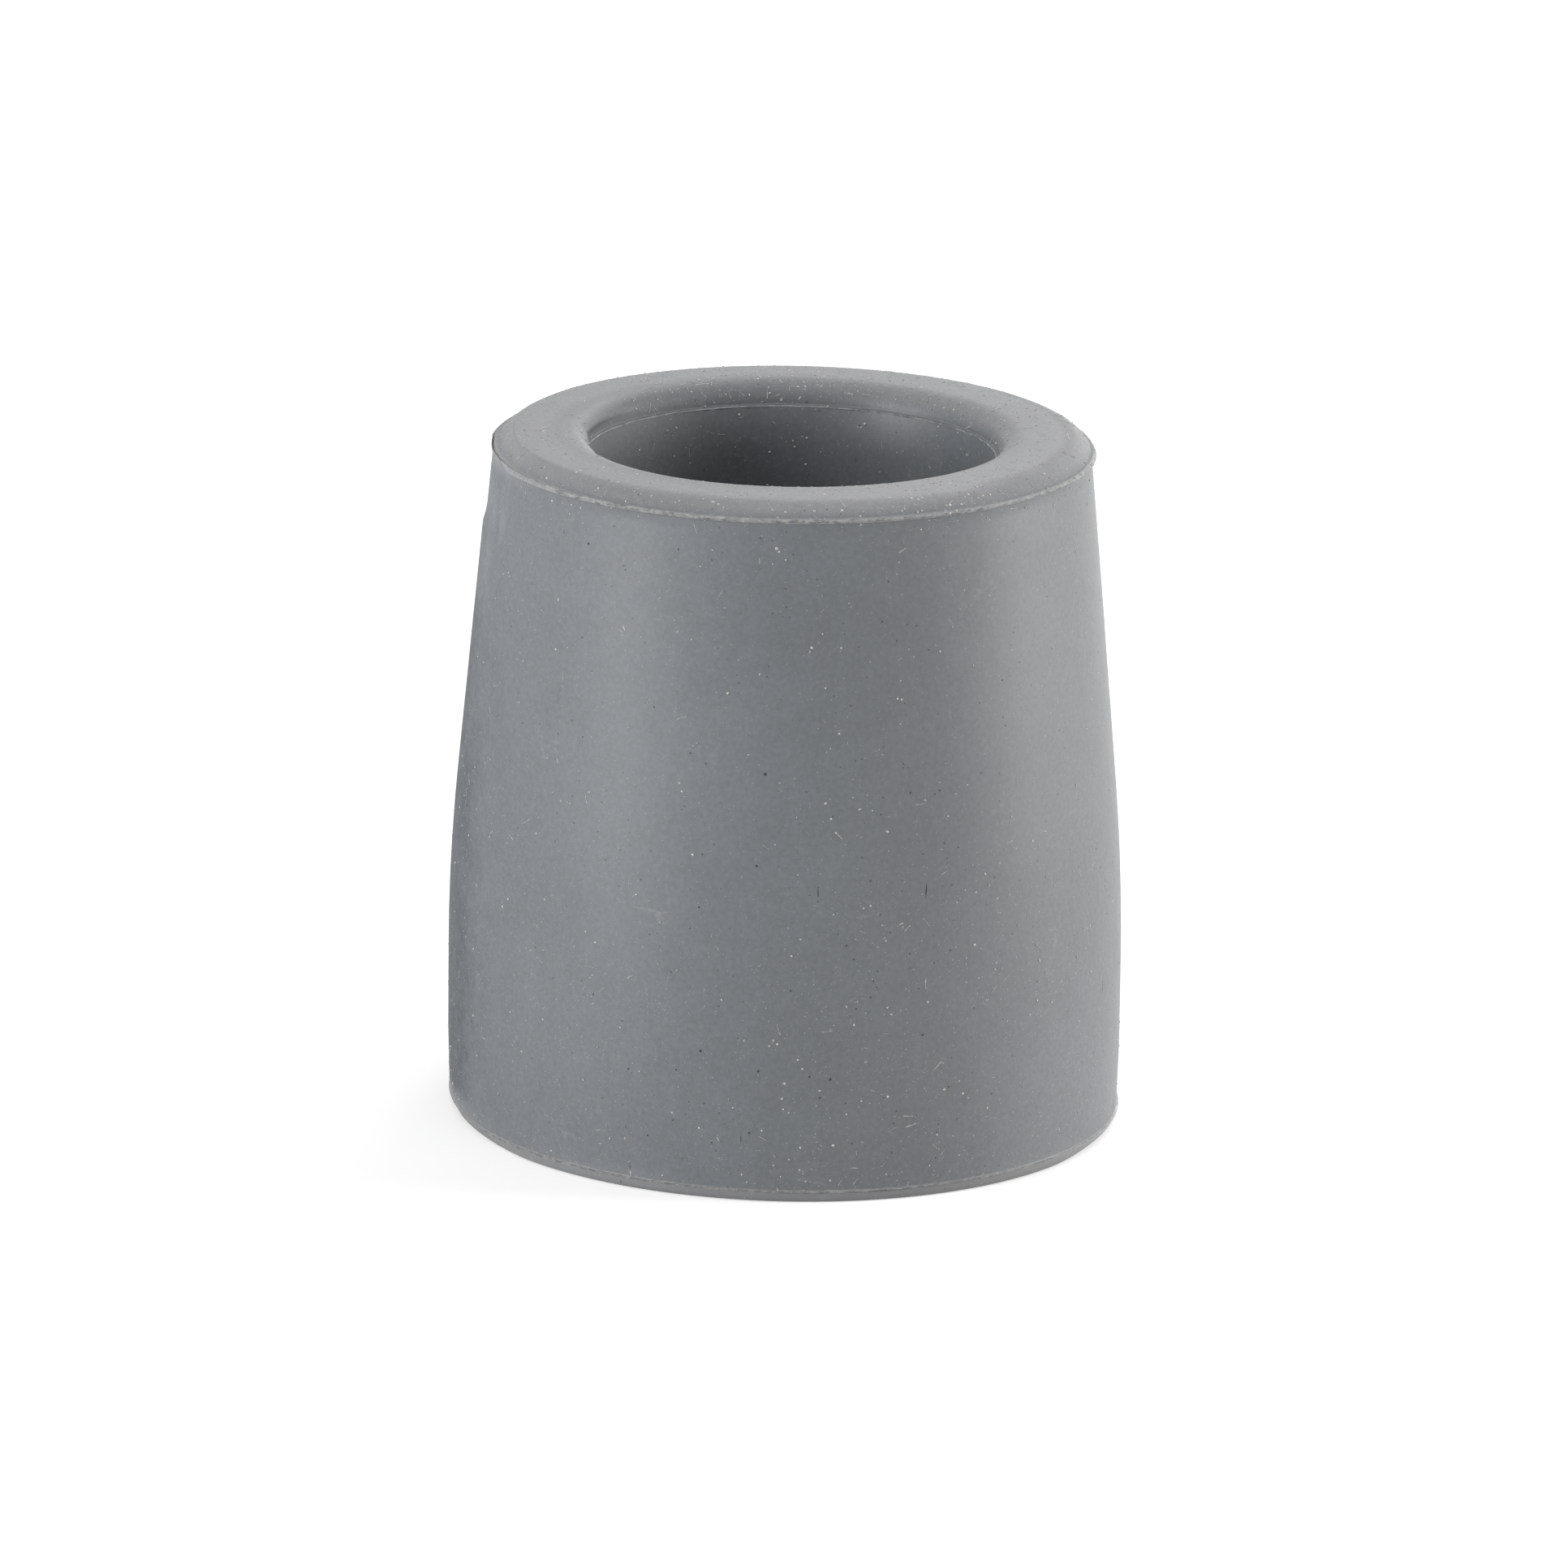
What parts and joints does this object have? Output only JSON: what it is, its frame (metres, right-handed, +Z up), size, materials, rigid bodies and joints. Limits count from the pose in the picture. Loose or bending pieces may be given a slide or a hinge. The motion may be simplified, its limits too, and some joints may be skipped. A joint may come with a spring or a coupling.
{
  "type": "rubber cane tip",
  "caption": "Tapered round rubber boot with a blind socket, a rolled mouth and a ringed tread, pressed onto the foot of a walking cane.",
  "frame": {"origin": "centre of the sole, on the surface that the tip stands on", "axes": "+Z up along the axis of the socket, out of its mouth; the tip is round, so X and Y are free"},
  "size_m": [0.0364, 0.0364, 0.0376],
  "materials": {
    "grey_rubber": "matte"
  },
  "bodies": {
    "root": {"cane_tip": "grey_rubber"}
  },
  "joints": []
}
